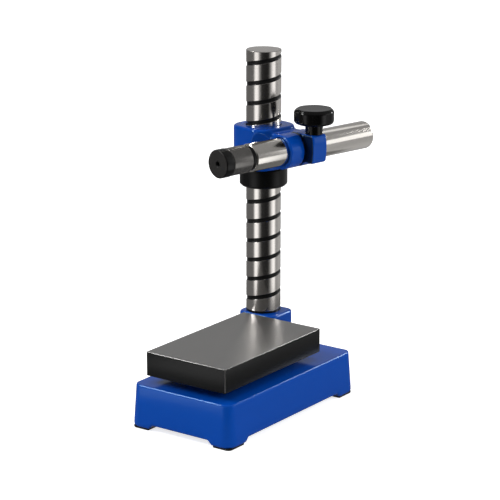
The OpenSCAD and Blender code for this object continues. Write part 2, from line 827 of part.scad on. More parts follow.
module arm() color(steel)
    at_head()
        difference() {
            along_arm(-arm_front)
                rotate_extrude()
                    difference() {
                        polygon([
                            [0, 0], [arm_d / 2 - arm_chamfer, 0], [arm_d / 2, arm_chamfer],
                            [arm_d / 2, arm_front + arm_rear], [0, arm_front + arm_rear]
                        ]);
                        translate([arm_d / 2 - arm_end_r, arm_front + arm_rear - arm_end_r])
                            difference() {
                                square([arm_end_r + over, arm_end_r + over]);
                                circle(r = arm_end_r);
                            }
                    }
            along_arm(-arm_front - over)
                cylinder(d = holder_spigot_d + 2 * running_fit, h = holder_spigot_l + 2 * over);
            translate([arm_offset, holder_screw_y, arm_z - arm_d / 2 - over])
                cylinder(d = holder_screw_d + 2 * seat_fit, h = arm_d / 2 + over);
        }

// Holder: body with the stem's blind bore, and a spigot in the arm's front end
module gauge_holder() color(black)
    at_head()
        difference() {
            union() {
                along_arm(holder_y) bar(holder_d / 2, holder_l, low = holder_edge, high = holder_edge);
                along_arm(ring_y - over) cylinder(d = holder_spigot_d, h = ring_w + holder_spigot_l + over);
            }
            translate([arm_offset, stem_y, arm_z - holder_d / 2 - over])
                cylinder(d = stem_d, h = stem_depth + over);
            along_arm(holder_y - over) cylinder(d = gauge_screw_d + 2 * running_fit, h = holder_l / 2 + over);
            // Ring groove for the lock screw's tip, which lets the holder roll
            along_arm(holder_screw_y - holder_screw_d / 2 - running_fit)
                difference() {
                    cylinder(d = holder_spigot_d + 2 * over, h = holder_screw_d + 2 * running_fit);
                    cylinder(d = holder_spigot_d - 2 * holder_screw_in, h = holder_screw_d + 2 * running_fit);
                }
        }

// Ring with a step on its front side, between the holder and the arm
module holder_ring() color(black)
    at_head()
        along_arm(ring_y)
            difference() {
                union() {
                    cylinder(d = ring_step_d, h = ring_w - running_fit);
                    translate([0, 0, ring_step])
                        cylinder(d = ring_d, h = ring_w - ring_step - ring_front_gap);
                }
                translate([0, 0, -over]) cylinder(d = holder_spigot_d + 2 * seat_fit, h = ring_w + 2 * over);
            }

// Grub screw in the arm's underside that holds the holder's spigot
module holder_lock_screw() color(zinc)
    at_head()
        translate([arm_offset, holder_screw_y, arm_z])
            mirror([0, 0, 1])
                difference() {
                    translate([0, 0, lock_tip]) cylinder(d = holder_screw_d, h = lock_end - lock_tip);
                    translate([0, 0, lock_end])
                        socket(hex_share * holder_screw_d, (arm_d - holder_spigot_d) / 4);
                }

module end_cap() color(black)
    at_head()
        difference() {
            along_arm(cap_back) mirror([0, 0, 1]) puck(cap_d / 2, cap_l, cap_edge_r, $fn);
            along_arm(cap_back - cap_screw_in)
                cylinder(d = gauge_screw_d + 2 * seat_fit, h = cap_screw_in + over);
            along_arm(cap_front - over) cylinder(d = centre_hole_d, h = cap_l - cap_screw_in + 2 * over);
            along_arm(cap_front - seat_fit) cylinder(d1 = centre_sink_d, d2 = centre_hole_d, h = centre_sink);
        }

module gauge_clamp_screw() color(steel)
    at_head()
        along_arm(gauge_screw_y)
            cylinder(d = gauge_screw_d, h = stem_y - stem_d / 2 - gauge_pad_l - gauge_screw_y);

// Pad between the screw and the gauge's stem, hollowed to the stem
module gauge_clamp_pad() color(brass)
    at_head()
        difference() {
            along_arm(stem_y - stem_d / 2 - gauge_pad_l + seat_fit)
                cylinder(d = gauge_screw_d, h = gauge_pad_l + stem_d / 2);
            translate([arm_offset, stem_y, arm_z - holder_d / 2])
                cylinder(d = stem_d + 2 * seat_fit, h = holder_d);
        }

base_casting();
measuring_plate();
plate_screws();
plate_washers();
rubber_feet();
column();
column_bolt();
column_washer();
column_lock_screw();
height_nut();
nut_follower();
thrust_washer();
head_casting();
column_clamp_knob();
column_clamp_insert();
column_clamp_stud();
column_clamp_pad();
arm_clamp_knob();
arm_clamp_insert();
arm_clamp_stud();
arm_clamp_cotter();
arm_clamp_washer();
arm();
gauge_holder();
holder_ring();
holder_lock_screw();
end_cap();
gauge_clamp_screw();
gauge_clamp_pad();
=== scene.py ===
import math

import bpy
import numpy as np
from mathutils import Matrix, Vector


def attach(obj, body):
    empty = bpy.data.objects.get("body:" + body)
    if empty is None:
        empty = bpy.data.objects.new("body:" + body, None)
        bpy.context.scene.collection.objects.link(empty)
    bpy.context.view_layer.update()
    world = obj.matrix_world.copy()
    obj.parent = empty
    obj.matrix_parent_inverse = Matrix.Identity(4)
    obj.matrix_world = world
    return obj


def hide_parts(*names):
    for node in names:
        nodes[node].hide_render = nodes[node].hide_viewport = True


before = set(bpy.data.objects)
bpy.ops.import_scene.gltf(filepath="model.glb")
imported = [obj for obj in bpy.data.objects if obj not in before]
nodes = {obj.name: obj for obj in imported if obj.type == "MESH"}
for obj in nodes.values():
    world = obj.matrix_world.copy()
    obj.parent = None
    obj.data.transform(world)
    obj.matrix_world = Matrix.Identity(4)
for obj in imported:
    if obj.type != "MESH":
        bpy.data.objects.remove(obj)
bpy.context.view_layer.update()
mm = 0.001

stand = {  # what several pieces share, in millimetres
    "columnX": -38, "columnY": 101, "swing": math.radians(12),
    "plateUnder": -24, "baseTop": -32, "raisedEdge": -70, "padBottom": -74, "ground": -76,
}
print("frame loaded:", len(nodes), "CAD nodes")


# meshes

def addPiece(name, mesh, body, finish, replaced, sharp=None):
    # a mesh becomes a piece: smooth but for edges past the sharp angle, riding on a body,
    # and standing for CAD nodes
    mesh.validate()
    mesh.polygons.foreach_set("use_smooth", np.ones(len(mesh.polygons), bool))
    if sharp:
        mesh.set_sharp_from_angle(angle=math.radians(sharp))
    mesh.materials.append(finish)
    piece = bpy.data.objects.new(name, mesh)
    bpy.context.scene.collection.objects.link(piece)
    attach(piece, body)
    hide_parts(*replaced)


def putMesh(name, verts, faces, body, finish, replaced, sharp=None):
    # numpy points in millimetres and faces of one size
    mesh = bpy.data.meshes.new(name)
    verts = np.ascontiguousarray(verts, np.float32) * mm
    faces = np.ascontiguousarray(faces, np.int32)
    count, size = faces.shape
    mesh.vertices.add(len(verts))
    mesh.vertices.foreach_set("co", verts.ravel())
    mesh.loops.add(count * size)
    mesh.loops.foreach_set("vertex_index", faces.ravel())
    mesh.polygons.add(count)
    mesh.polygons.foreach_set("loop_start", np.arange(count, dtype=np.int32) * size)
    mesh.update(calc_edges=True)
    addPiece(name, mesh, body, finish, replaced, sharp)


def cleanFaces(name, verts, faces, body, finish, replaced, sharp):
    # as putMesh, but quads whose points fell together become triangles or vanish
    mesh = bpy.data.meshes.new(name)
    rows = [list(dict.fromkeys(f)) for f in faces.tolist()]
    mesh.from_pydata((verts * mm).tolist(), [], [f for f in rows if len(f) > 2])
    addPiece(name, mesh, body, finish, replaced, sharp)


def gridFaces(rows, columns, closed=True):
    # quads between neighbouring rows, and round from the last column to the first when closed
    i = np.arange(rows - 1)[:, None] * columns
    j = np.arange(columns if closed else columns - 1)[None, :]
    k = (j + 1) % columns
    return np.stack([i + j, i + k, i + columns + k, i + columns + j], -1).reshape(-1, 4)


def rounded(points, steps=5, most=0.49):
    # an outline (across, along, radius): each corner becomes an arc of that radius,
    # which takes no more than most of either side
    out = []
    pts = [np.array(p[:2], float) for p in points]
    for i, p in enumerate(points):
        r = p[2] if len(p) > 2 else 0
        if r <= 0 or i in (0, len(points) - 1):
            out.append(pts[i])
            continue
        a = pts[i - 1] - pts[i]
        b = pts[i + 1] - pts[i]
        la, lb = np.linalg.norm(a), np.linalg.norm(b)
        a, b = a / la, b / lb
        half = math.acos(np.clip(a @ b, -1, 1)) / 2
        cut = min(r / math.tan(half), most * la, most * lb)
        r = cut * math.tan(half)
        centre = pts[i] + (a + b) / np.linalg.norm(a + b) * r / math.sin(half)
        u, v = pts[i] + a * cut - centre, pts[i] + b * cut - centre
        t0, t1 = math.atan2(u[1], u[0]), math.atan2(v[1], v[0])
        turn = (t1 - t0 + math.pi) % (2 * math.pi) - math.pi
        for s in np.linspace(0, 1, steps + 1):
            out.append(centre + r * np.array([math.cos(t0 + s * turn), math.sin(t0 + s * turn)]))
    return np.array(out)


def toPart(x, y, z):
    # the head's own frame, swung about the column, into the part's frame
    c, s = math.cos(stand["swing"]), math.sin(stand["swing"])
    return np.stack([stand["columnX"] + x * c + y * s, stand["columnY"] - x * s + y * c, z], -1)


def aboutColumn(x, y, h):
    # a turned outline upright on the column's axis
    return np.stack([stand["columnX"] + x, stand["columnY"] + y, h + 0 * x], -1)


def turned(profile, place, around, wave=None):
    # profile (radius, height) turned about an axis: place(x, y, h) puts the ring points
    a = np.linspace(0, 2 * math.pi, around, endpoint=False)[None, :]
    r, h = profile[:, 0][:, None], profile[:, 1][:, None]
    if wave is not None:
        r = r * wave(a, r, h)
    return place(r * np.cos(a), r * np.sin(a), h + 0 * a).reshape(-1, 3), gridFaces(len(profile), around)


def welded(verts, faces):
    # merges equal points, so poles and seams close
    key = np.round(verts * 1e4).astype(np.int64)
    first, back = np.unique(key, axis=0, return_index=True, return_inverse=True)[1:]
    return verts[first], back.reshape(-1)[faces]


def turnedPiece(name, outline, place, body, finish, replaced, around):
    # an outline with its corners rounded, turned about its axis
    verts, faces = welded(*turned(rounded(outline), place, around))
    putMesh(name, verts, faces, body, finish, replaced, sharp=32)


# distance fields: rounded solids, blended and cut, then meshed where the distance is zero

def roundEdge(a, b, r):
    # what two solids share: the greater distance, with their common edge rounded to r
    a, b = a + r, b + r
    return np.hypot(np.maximum(a, 0), np.maximum(b, 0)) + np.minimum(np.maximum(a, b), 0) - r


def rectangle(x, y, halfX, halfY, r):
    # a rectangle round the origin, with round corners
    return roundEdge(np.abs(x) - halfX, np.abs(y) - halfY, r)


def join(a, b, k):
    # two solids as one: the smaller distance, with a fillet of about k between them
    h = np.maximum(k - np.abs(a - b), 0) / k
    return np.minimum(a, b) - h * h * k / 4


def both(a, b, k=0.01):
    # what two solids share: the join of their outsides, turned inside out
    return -join(-a, -b, k)


def without(a, b, k):
    # the first solid with the second cut away, and the rim of the cut softened by k
    return -join(-a, b, k)


def softStep(t):
    # 0 below 0 and 1 above 1, with three squares less two cubes between
    t = np.clip(t, 0, 1)
    return t * t * (3 - 2 * t)


def edgeEnds(f, axis, across=slice(None)):
    # the field at the lower and at the upper end of each grid edge along one axis
    lower, upper = [across] * 3, [across] * 3
    lower[axis], upper[axis] = slice(0, -1), slice(1, None)
    return f[tuple(lower)], f[tuple(upper)]


def contour(field, low, high, step):
    # one point in each cell that the surface crosses, moved onto it, and a quad for each crossed grid edge
    axes = [np.arange(l, h + step, step) for l, h in zip(low, high)]
    f = field(*np.meshgrid(*axes, indexing="ij", sparse=True)).astype(np.float32)
    cells = tuple(n - 1 for n in f.shape)
    total = np.zeros(cells + (3,), np.float32)
    hits = np.zeros(cells, np.float32)
    for axis in range(3):
        f0, f1 = edgeEnds(f, axis)
        crossed = (f0 < 0) != (f1 < 0)
        share = np.where(crossed, f0 / np.where(crossed, f0 - f1, 1), 0)
        a, b = [n for n in range(3) if n != axis]
        for da in (0, 1):
            for db in (0, 1):
                cut = [slice(None)] * 3
                cut[a], cut[b] = slice(da, cells[a] + da), slice(db, cells[b] + db)
                c = crossed[tuple(cut)]
                hits += c
                total[..., axis] += np.where(c, share[tuple(cut)], 0)
                total[..., a] += c * da
                total[..., b] += c * db
    active = hits > 0
    index = np.full(cells, -1, np.int64)
    index[active] = np.arange(active.sum())
    verts = np.array(low) + step * (np.argwhere(active) + total[active] / hits[active][:, None])
    quads = []
    for axis in range(3):
        f0, f1 = edgeEnds(f, axis, slice(1, -1))
        crossed = (f0 < 0) != (f1 < 0)
        at = np.argwhere(crossed)
        b, c = np.eye(3, dtype=int)[[(axis + 1) % 3, (axis + 2) % 3]]
        quad = np.stack([index[tuple((at + d).T)] for d in (0 * b, b, b + c, c)], -1)
        quads.append(np.where((f0 < 0)[crossed][:, None], quad, quad[:, ::-1]))

    def slope(p, e):
        # the field's change along x, y and z, from a little step each way
        d = np.eye(3) * e
        g = [field(*(p + d[i]).T) - field(*(p - d[i]).T) for i in range(3)]
        return np.stack(g, -1) / (2 * e)

    for again in range(3):  # down the slope to where the distance is zero, by no more than 0.4 of a cell
        g = slope(verts, 0.05 * step)
        move = -field(*verts.T)[:, None] * g / np.maximum((g * g).sum(-1), 0.2)[:, None]
        length = np.linalg.norm(move, axis=-1, keepdims=True)
        verts = verts + move * np.minimum(1, 0.4 * step / np.maximum(length, 1e-9))
    return verts, np.concatenate(quads)


# shader groups

def grey(shade):
    return (shade, shade, shade, 1)


def feed(tree, value, socket):
    # another node's output is linked, a number or a colour is set
    if hasattr(value, "is_linked"):
        tree.links.new(value, socket)
    else:
        socket.default_value = value


def setShader(tree, values):
    for label, value in values.items():
        feed(tree, value, tree.nodes["Principled BSDF"].inputs[label])


def addMath(tree, operation, *values):
    # each value is a number or another node's output
    node = tree.nodes.new("ShaderNodeMath")
    node.operation = operation
    for value, socket in zip(values, node.inputs):
        feed(tree, value, socket)
    return node.outputs[0]


def addMix(tree, factor, one, other, blend="MIX"):
    # one at factor 0 and other at factor 1
    node = tree.nodes.new("ShaderNodeMix")
    node.data_type, node.blend_type = "RGBA", blend
    for value, label in ((factor, "Factor"), (one, "A"), (other, "B")):
        feed(tree, value, node.inputs[label])
    return node.outputs["Result"]


def addNoise(tree, vector, scale, detail=2.0, roughness=0.5):
    node = tree.nodes.new("ShaderNodeTexNoise")
    for value, label in ((vector, "Vector"), (scale, "Scale"), (detail, "Detail"), (roughness, "Roughness")):
        feed(tree, value, node.inputs[label])
    return node.outputs["Fac"]


def addRamp(tree, value, stops):
    # a grey for each (place, shade), with straight lines between them
    node = tree.nodes.new("ShaderNodeValToRGB")
    tree.links.new(value, node.inputs[0])
    ramp = node.color_ramp
    while len(ramp.elements) < len(stops):
        ramp.elements.new(0.5)
    for element, (place, shade) in zip(ramp.elements, stops):
        element.position = place
        element.color = grey(shade)
    return node.outputs[0]


def objectPlace(tree):
    return tree.nodes.new("ShaderNodeTexCoord").outputs["Object"]


def objectAxes(tree):
    # the shaded point's x, y and z, in metres
    axes = tree.nodes.new("ShaderNodeSeparateXYZ")
    tree.links.new(objectPlace(tree), axes.inputs[0])
    return axes.outputs


def fromColumn(tree):
    # the point's offset from the column's axis in x and y, and its height
    x, y, z = objectAxes(tree)
    dx = addMath(tree, "SUBTRACT", x, stand["columnX"] * mm)
    dy = addMath(tree, "SUBTRACT", y, stand["columnY"] * mm)
    return dx, dy, z


def squares(tree, a, b):
    # a squared plus b squared
    return addMath(tree, "MULTIPLY_ADD", a, a, addMath(tree, "MULTIPLY", b, b))


def newGroup(name, values):
    # a group whose inputs have these values, with a height, a shade and a roughness as its outputs
    group = bpy.data.node_groups.new(name, "ShaderNodeTree")
    for label, value in values.items():
        kind = "NodeSocketFloat" if isinstance(value, float) else "NodeSocketVector"
        group.interface.new_socket(name=label, in_out="INPUT", socket_type=kind).default_value = value
    for label in ("Height", "Shade", "Roughness"):
        group.interface.new_socket(name=label, in_out="OUTPUT", socket_type="NodeSocketFloat")
    return group, group.nodes.new("NodeGroupInput").outputs


def closeGroup(group, given, height, shade, gloss):
    # the shade swings about 1 and the roughness about its own value
    end = group.nodes.new("NodeGroupOutput")
    group.links.new(height, end.inputs["Height"])
    group.links.new(addMath(group, "MULTIPLY_ADD", shade, given["Shade Swing"], 1.0), end.inputs["Shade"])
    rough = addMath(group, "MULTIPLY_ADD", gloss, given["Roughness Swing"], given["Roughness"])
    group.links.new(rough, end.inputs["Roughness"])
    return group


def makeEnamelGroup():
    # sprayed enamel on a casting: faint orange peel over slow waves, and fine dust specks in its roughness
    group, given = newGroup("enamelSkin", {
        "Peel Scale": 420.0, "Wave Scale": 45.0, "Wave Share": 0.6, "Speck Scale": 900.0,
        "Shade Swing": 0.06, "Roughness": 0.10, "Roughness Swing": 0.06})
    place = objectPlace(group)
    peel = addNoise(group, place, given["Peel Scale"], detail=1.0)
    wave = addNoise(group, place, given["Wave Scale"])
    speck = addNoise(group, place, given["Speck Scale"])
    height = addMath(group, "MULTIPLY_ADD", wave, given["Wave Share"], peel)
    return closeGroup(group, given, height, addMath(group, "SUBTRACT", wave, 0.5), speck)


def makeGrindGroup():
    # grinding marks: noise stretched along one axis over a slow cloud
    group, given = newGroup("grindMarks", {
        "Stretch": (1, 1, 1), "Cloud Scale": 30.0, "Cloud Share": 0.5,
        "Shade Swing": 0.1, "Roughness": 0.3, "Roughness Swing": 0.1})
    place = objectPlace(group)
    scaled = group.nodes.new("ShaderNodeVectorMath")
    scaled.operation = "MULTIPLY"
    group.links.new(place, scaled.inputs[0])
    group.links.new(given["Stretch"], scaled.inputs[1])
    lines = addNoise(group, scaled.outputs[0], 1.0, detail=3.0, roughness=0.6)
    cloud = addMath(group, "SUBTRACT", addNoise(group, place, given["Cloud Scale"]), 0.5)
    away = addMath(group, "SUBTRACT", lines, 0.5)
    mixed = addMath(group, "MULTIPLY_ADD", cloud, given["Cloud Share"], away)
    return closeGroup(group, given, lines, mixed, mixed)


def makeSkinGroup():
    # moulded or blackened skin: fine grain with a slow cloud in its gloss
    group, given = newGroup("blackSkin", {
        "Grain Scale": 1500.0, "Cloud Scale": 60.0,
        "Shade Swing": 0.2, "Roughness": 0.3, "Roughness Swing": 0.1})
    place = objectPlace(group)
    grain = addNoise(group, place, given["Grain Scale"])
    cloud = addMath(group, "SUBTRACT", addNoise(group, place, given["Cloud Scale"], detail=3.0), 0.5)
    return closeGroup(group, given, grain, cloud, cloud)


enamelGroup, grindGroup, skinGroup = makeEnamelGroup(), makeGrindGroup(), makeSkinGroup()


# finishes

def makeFinish(name, group, colour, values, bump=0.1, depth=0.0001, metallic=0.0, specular=0.5,
               gloss=(1, 1, 1)):
    # a finish: one shader group for height, shade and roughness, and a Principled BSDF
    finish = bpy.data.materials.new(name)
    finish.use_nodes = True
    tree = finish.node_tree
    skin = tree.nodes.new("ShaderNodeGroup")
    skin.node_tree = group
    for label, value in values.items():
        skin.inputs[label].default_value = value
    tint = addMix(tree, 1, (*colour, 1), skin.outputs["Shade"], "MULTIPLY")
    relief = tree.nodes.new("ShaderNodeBump")
    relief.inputs["Strength"].default_value = bump
    relief.inputs["Distance"].default_value = depth
    tree.links.new(skin.outputs["Height"], relief.inputs["Height"])
    setShader(tree, {
        "Base Color": tint, "Roughness": skin.outputs["Roughness"], "Normal": relief.outputs["Normal"],
        "Metallic": metallic, "Specular IOR Level": specular, "Specular Tint": (*gloss, 1)})
    finish.diffuse_color = (*colour, 1)
    return finish


enamelGloss = (0.45, 0.78, 1.0)
blueEnamel = makeFinish("blueEnamel", enamelGroup, (0.0015, 0.060, 0.380), {}, bump=0.08,
                        specular=0.42, gloss=enamelGloss)
blackOxide = makeFinish("blackOxide", skinGroup, (0.003, 0.003, 0.003),
                        {"Roughness": 0.30, "Grain Scale": 2200}, bump=0.1, depth=0.00003, specular=0.18)
darkSteel = makeFinish("darkSteel", skinGroup, (0.15, 0.144, 0.138),
                       {"Roughness": 0.26, "Grain Scale": 1800}, bump=0.08, depth=0.00003, metallic=0.85)
knobBlack = makeFinish("knobBlack", skinGroup, (0.002, 0.002, 0.002),
                       {"Roughness": 0.16, "Grain Scale": 900}, bump=0.04, depth=0.00003, specular=0.22)
footRubber = makeFinish("footRubber", skinGroup, (0.012, 0.012, 0.012),
                        {"Roughness": 0.6, "Grain Scale": 1500}, bump=0.2, depth=0.00005, specular=0.3)


def bareMetal(name, colour, stretch, roughness):
    return makeFinish(name, grindGroup, colour, {"Stretch": (stretch,) * 3, "Roughness": roughness},
                      bump=0.1, depth=0.00002, metallic=1)


brightSteel = bareMetal("brightSteel", (0.5, 0.49, 0.47), 900, 0.3)
zincSteel = bareMetal("zincSteel", (0.45, 0.46, 0.48), 600, 0.38)
bearingBrass = bareMetal("bearingBrass", (0.6, 0.42, 0.16), 700, 0.3)

marks = {  # where a finish or a painted shade changes, in millimetres, and how much of the chrome the end faces keep
    "columnLand": 17.28, "columnFoot": 1.9, "columnFace": 266.97, "columnFaceShare": 0.52,
    "plateEdges": 124.95, "plateEdgesFrom": -23, "plateTop": -0.35,
    "armRoundingShade": 101.9, "armFace": 103.9, "armFaceShare": 0.5, "capFace": -94.2,
    "cutMiddle": 5.0, "cutHalf": 1.8, "cutFrom": 36,
}


def twoFinishes(tree, mask, other, metallic, roughness=0.3):
    # where the mask is 1 the finish stays, elsewhere it is a plain one without relief
    relief = tree.nodes["Bump"]
    height = relief.inputs["Height"].links[0].from_socket
    tree.links.new(addMath(tree, "MULTIPLY", height, mask), relief.inputs["Height"])
    shader = tree.nodes["Principled BSDF"]
    colour, rough = (shader.inputs[label].links[0].from_socket for label in ("Base Color", "Roughness"))
    tree.links.new(addMix(tree, mask, (*other, 1), colour), shader.inputs["Base Color"])
    tree.links.new(addMath(tree, "MULTIPLY", mask, metallic), shader.inputs["Metallic"])
    rough = addMath(tree, "SUBTRACT", rough, roughness)
    tree.links.new(addMath(tree, "MULTIPLY_ADD", rough, mask, roughness), shader.inputs["Roughness"])


def makeColumnFinish():
    # chromed where the radius from the column's axis is full; near black in the groove as painted shade, and in
    # a band just above the boss;
    # darker and rougher on the top face, its darkness painted shade
    finish = makeFinish("columnChrome", grindGroup, (0.66, 0.63, 0.60),
                        {"Stretch": (60, 60, 2500), "Roughness": 0.17, "Roughness Swing": 0.08,
                         "Shade Swing": 0.12},
                        bump=0.08, depth=0.00002, metallic=1, specular=0.15)
    tree = finish.node_tree
    dx, dy, z = fromColumn(tree)
    full = addMath(tree, "GREATER_THAN", squares(tree, dx, dy), (marks["columnLand"] * mm) ** 2)
    full = addMath(tree, "MULTIPLY", full, addMath(tree, "GREATER_THAN", z, marks["columnFoot"] * mm))
    face = addMath(tree, "GREATER_THAN", z, marks["columnFace"] * mm)
    mask = addMath(tree, "MULTIPLY_ADD", face, addMath(tree, "SUBTRACT", marks["columnFaceShare"], full), full)
    # the near black is painted shade in the groove and on the top face, and a plain dark band just above the
    # boss
    twoFinishes(tree, mask, (0.006, 0.006, 0.006), 1.0)
    return finish


def makePlateFinish():
    # finely ground top, black sides, and bare metal along the top edges and the upright edges,
    # where |x| + |y| comes near its greatest
    finish = makeFinish("groundPlate", grindGroup, (0.28, 0.275, 0.27),
                        {"Stretch": (2200, 1800, 60), "Roughness": 0.33, "Roughness Swing": 0.10,
                         "Shade Swing": 0.22},
                        bump=0.06, depth=0.00001, metallic=1, specular=0.24)
    tree = finish.node_tree
    x, y, z = objectAxes(tree)
    out = addMath(tree, "ADD", addMath(tree, "ABSOLUTE", x), addMath(tree, "ABSOLUTE", y))
    corner = addMath(tree, "MULTIPLY", addMath(tree, "GREATER_THAN", out, marks["plateEdges"] * mm),
                     addMath(tree, "GREATER_THAN", z, marks["plateEdgesFrom"] * mm))
    top = addMath(tree, "GREATER_THAN", z, marks["plateTop"] * mm)
    twoFinishes(tree, addMath(tree, "MAXIMUM", top, corner), (0.004, 0.004, 0.004), 0.85)
    return finish


def headAxes(tree):
    # along the arm and to the side of the column: the offset from the column turned by the head's swing
    dx, dy = fromColumn(tree)[:2]
    c, s = math.cos(stand["swing"]), math.sin(stand["swing"])
    along = addMath(tree, "MULTIPLY_ADD", dx, s, addMath(tree, "MULTIPLY", dy, c))
    side = addMath(tree, "MULTIPLY_ADD", dx, c, addMath(tree, "MULTIPLY", dy, -s))
    return along, side


def makeArmFinish():
    # chromed, with painted shade on the rounding at the rear end, and a face there that keeps half the chrome
    finish = makeFinish("armChrome", grindGroup, (0.72, 0.69, 0.65),
                        {"Stretch": (400, 400, 400), "Roughness": 0.16, "Roughness Swing": 0.08,
                         "Shade Swing": 0.08},
                        bump=0.05, depth=0.00002, metallic=1)
    tree = finish.node_tree
    along = headAxes(tree)[0]
    face = addMath(tree, "GREATER_THAN", along, marks["armFace"] * mm)
    bar = addMath(tree, "LESS_THAN", along, marks["armRoundingShade"] * mm)
    # the dark colour on the rounding is painted shade
    twoFinishes(tree, addMath(tree, "MULTIPLY_ADD", face, marks["armFaceShare"], bar), (0.02, 0.02, 0.02), 1.0)
    return finish


def makeCapFinish():
    # the end cap: a turned grey face in front, glossy black round the side
    finish = makeFinish("capBlack", skinGroup, (0.030, 0.029, 0.028), {"Roughness": 0.24, "Grain Scale": 1800},
                        bump=0.06, depth=0.00003, metallic=0.3, specular=0.2)
    tree = finish.node_tree
    face = addMath(tree, "LESS_THAN", headAxes(tree)[0], marks["capFace"] * mm)
    twoFinishes(tree, face, (0.003, 0.003, 0.003), 0.3)
    return finish


def makeHeadFinish():
    # the enamel, with painted shade inside the saw cut between the arm's hub and the ear
    finish = makeFinish("headEnamel", enamelGroup, (0.001, 0.050, 0.325), {}, bump=0.08,
                        specular=0.36, gloss=enamelGloss)
    tree = finish.node_tree
    along, side = headAxes(tree)
    away = addMath(tree, "ABSOLUTE", addMath(tree, "SUBTRACT", along, marks["cutMiddle"] * mm))
    cut = addMath(tree, "MULTIPLY", addMath(tree, "LESS_THAN", away, marks["cutHalf"] * mm),
                  addMath(tree, "GREATER_THAN", side, marks["cutFrom"] * mm))
    # the near black inside the cut is painted shade
    twoFinishes(tree, addMath(tree, "SUBTRACT", 1.0, cut), (0.001, 0.006, 0.03), 0.0)
    return finish


groundPlate, columnChrome, headEnamel = makePlateFinish(), makeColumnFinish(), makeHeadFinish()
armChrome, capBlack = makeArmFinish(), makeCapFinish()
print("finishes made")


# base casting

base = {
    "halfWidth": 57.5, "front": -87, "rear": 120.5, "draft": 3, "draftReach": 1.1, "cornerRadius": 9,
    "edgeRadius": 7.0, "boss": (22.5, 19.5), "bossShift": 3, "bossTop": -0.5, "bossCorner": 9, "bossEdge": 2.2,
    "fillet": 5, "filletDepth": 6, "pedestal": (22, 54), "pedestalCorner": 5, "pedestalFillet": 2,
    "padX": 38.5, "padY": 80.75, "slope": 6, "slopeEase": 0.8, "underEdge": 3.2,
    "pockets": [(-47.5, -3.5, -55, 13.25), (3.5, 47.5, -55, 13.25), (-47.5, -3.5, 20.25, 74.5),
                (3.5, 47.5, 20.25, 88.5), (-26, 26, -77, -62)],
    "ceiling": -42, "pocketRadius": 5, "pocketTaper": 0.03, "pocketRoof": 3, "pocketMouth": 2.5,
    "wells": [(stand["columnX"], stand["columnY"], 10.3, -58)]
             + [(x, y, 6.3, -34.5) for x in (-15, 15) for y in (-43, 43)],  # centre, radius and top
    "box": ((-62.5, -92.5, -76), (62.5, 126, 0.5)), "step": 1.15,
}


def baseField(x, y, z):
    # a drafted block, the boss with a cove round its foot and the pedestal with a fillet, raised between the
    # pads underneath by a soft step, less the tapered pockets and the round wells
    b = base
    top = stand["baseTop"]
    midY, halfY = (b["front"] + b["rear"]) / 2, (b["rear"] - b["front"]) / 2
    grow = b["draft"] * np.clip((top - z) / (top - stand["padBottom"]), 0, b["draftReach"])
    outline = rectangle(x, y - midY, b["halfWidth"], halfY, b["cornerRadius"]) - grow
    body = roundEdge(outline, z - top, b["edgeRadius"])
    wall = rectangle(x - stand["columnX"] - b["bossShift"], y - stand["columnY"], *b["boss"], b["bossCorner"])
    boss = roundEdge(wall, z - b["bossTop"], b["bossEdge"])
    r = b["fillet"]
    cove = r - np.hypot(np.maximum(r - wall, 0), np.maximum(r - (z - top), 0))
    cove = both(cove, roundEdge(outline, z - top - r, b["edgeRadius"]))
    solid = np.minimum(body, np.minimum(boss, np.maximum(cove, top - b["filletDepth"] - z)))
    pedestal = rectangle(x, y, *b["pedestal"], b["pedestalCorner"])
    solid = join(solid, np.maximum(pedestal, z - stand["plateUnder"]), b["pedestalFillet"])
    riseX = softStep((b["padX"] - np.abs(x)) / b["slope"])
    riseY = softStep((b["padY"] - np.abs(y - midY)) / b["slope"])
    under = stand["padBottom"] + (stand["raisedEdge"] - stand["padBottom"]) * np.maximum(riseX, riseY)
    solid = both(solid, b["slopeEase"] * (under - z), b["underEdge"])
    for x0, x1, y0, y1 in b["pockets"]:
        side = rectangle(x - (x0 + x1) / 2, y - (y0 + y1) / 2, (x1 - x0) / 2, (y1 - y0) / 2, b["pocketRadius"])
        side = side + b["pocketTaper"] * (z - b["ceiling"])
        solid = without(solid, both(side, z - b["ceiling"], b["pocketRoof"]), b["pocketMouth"])
    for cx, cy, r, wellTop in b["wells"]:
        solid = np.maximum(solid, -np.maximum(np.hypot(x - cx, y - cy) - r, z - wellTop))
    return solid


verts, faces = contour(baseField, *base["box"], base["step"])
putMesh("baseCasting", verts, faces, "stand", blueEnamel, ("base_casting",))
print("base casting:", len(faces), "quads")


# measuring plate

plate = {"half": (47, 79), "cornerRadius": 1.5, "leastCorner": 0.2, "edgeRadius": 0.6, "rim": 4}


def slabRing(half, r, z, steps=6):
    # a rectangle with round corners at one height, half its sides and its corner radius given
    a = np.concatenate([np.linspace(q, q + 1, steps + 1) for q in range(4)]) * math.pi / 2
    sx = np.repeat([1, -1, -1, 1], steps + 1)
    sy = np.repeat([1, 1, -1, -1], steps + 1)
    return np.stack([sx * (half[0] - r) + r * np.cos(a), sy * (half[1] - r) + r * np.sin(a), 0 * a + z], -1)


def makePlate():
    # the rim runs down the side, drawn in at both edges; the faces close over the middle
    p = plate
    low, inward = stand["plateUnder"], p["rim"]
    rim = rounded([(inward, 0), (0, 0, p["edgeRadius"]), (0, low, p["edgeRadius"]), (inward, low)], steps=4)
    rings = [slabRing((p["half"][0] - d, p["half"][1] - d), max(p["cornerRadius"] - d, p["leastCorner"]), z)
             for d, z in rim]
    middle = np.zeros((len(rings[0]), 3))
    rings = [middle] + rings + [middle + [0, 0, low]]
    faces = gridFaces(len(rings), len(rings[0]))[:, ::-1]
    return welded(np.concatenate(rings), faces)


verts, faces = makePlate()
cleanFaces("measuringPlate", verts, faces, "stand", groundPlate, ("measuring_plate",), sharp=50)
print("measuring plate:", len(faces), "faces")


# column

